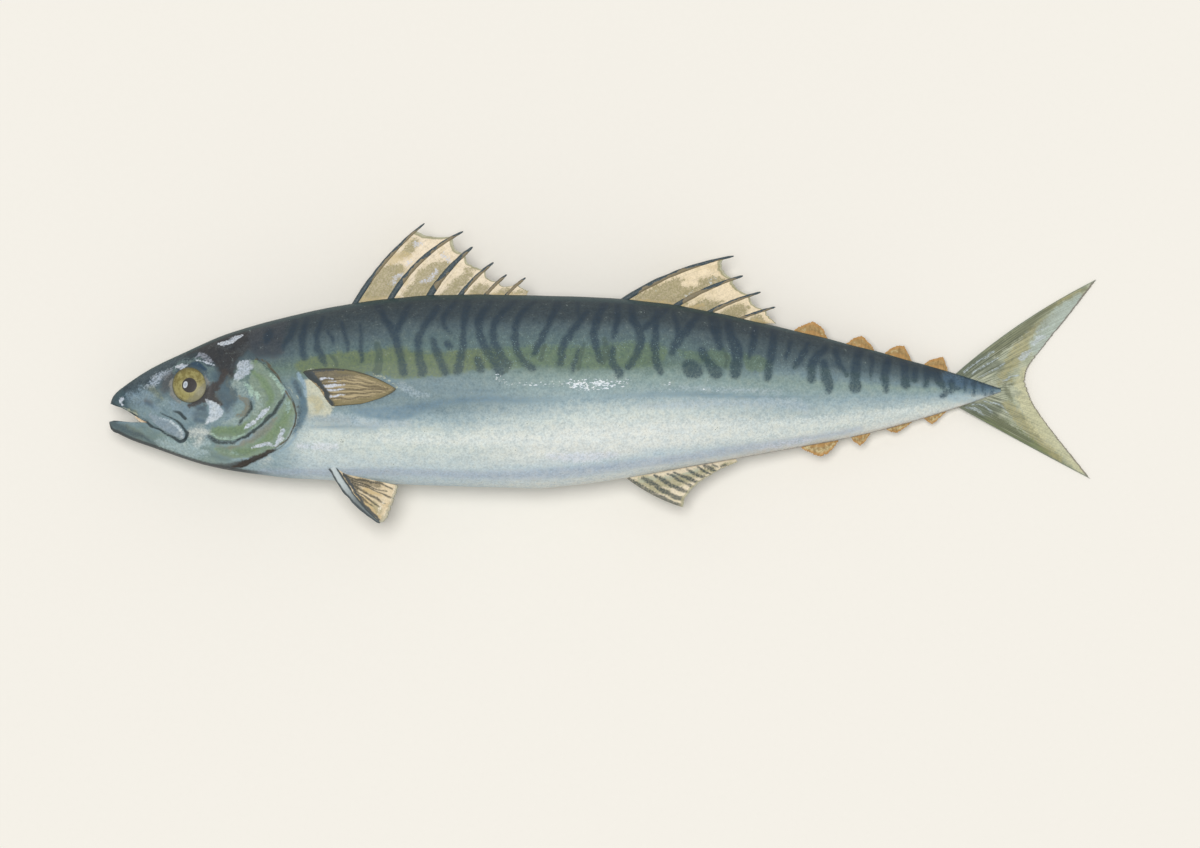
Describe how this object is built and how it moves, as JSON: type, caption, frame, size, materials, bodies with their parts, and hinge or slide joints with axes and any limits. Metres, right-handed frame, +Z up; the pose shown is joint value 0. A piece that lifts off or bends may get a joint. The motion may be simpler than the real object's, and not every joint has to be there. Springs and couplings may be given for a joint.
{
  "type": "whole raw mackerel",
  "caption": "Whole raw mackerel lying on its right side: spindle-shaped body, forked tail, spiny dorsal fins, small finlets, a scalloped fin edge, a gill cover and a slightly open mouth.",
  "frame": {"origin": "middle of the fish's length and height in plan, on the surface that it lies on", "axes": "+X from the snout to the tail, +Y from the belly to the back, +Z up, out of the fish's left side"},
  "size_m": [0.35, 0.107, 0.0416],
  "materials": {
    "wet_skin": "wet, smooth skin: blue-green back with dark wavy bars, pale silvery belly, tan translucent fins"
  },
  "bodies": {
    "root": {"mackerel": "wet_skin"}
  },
  "joints": []
}
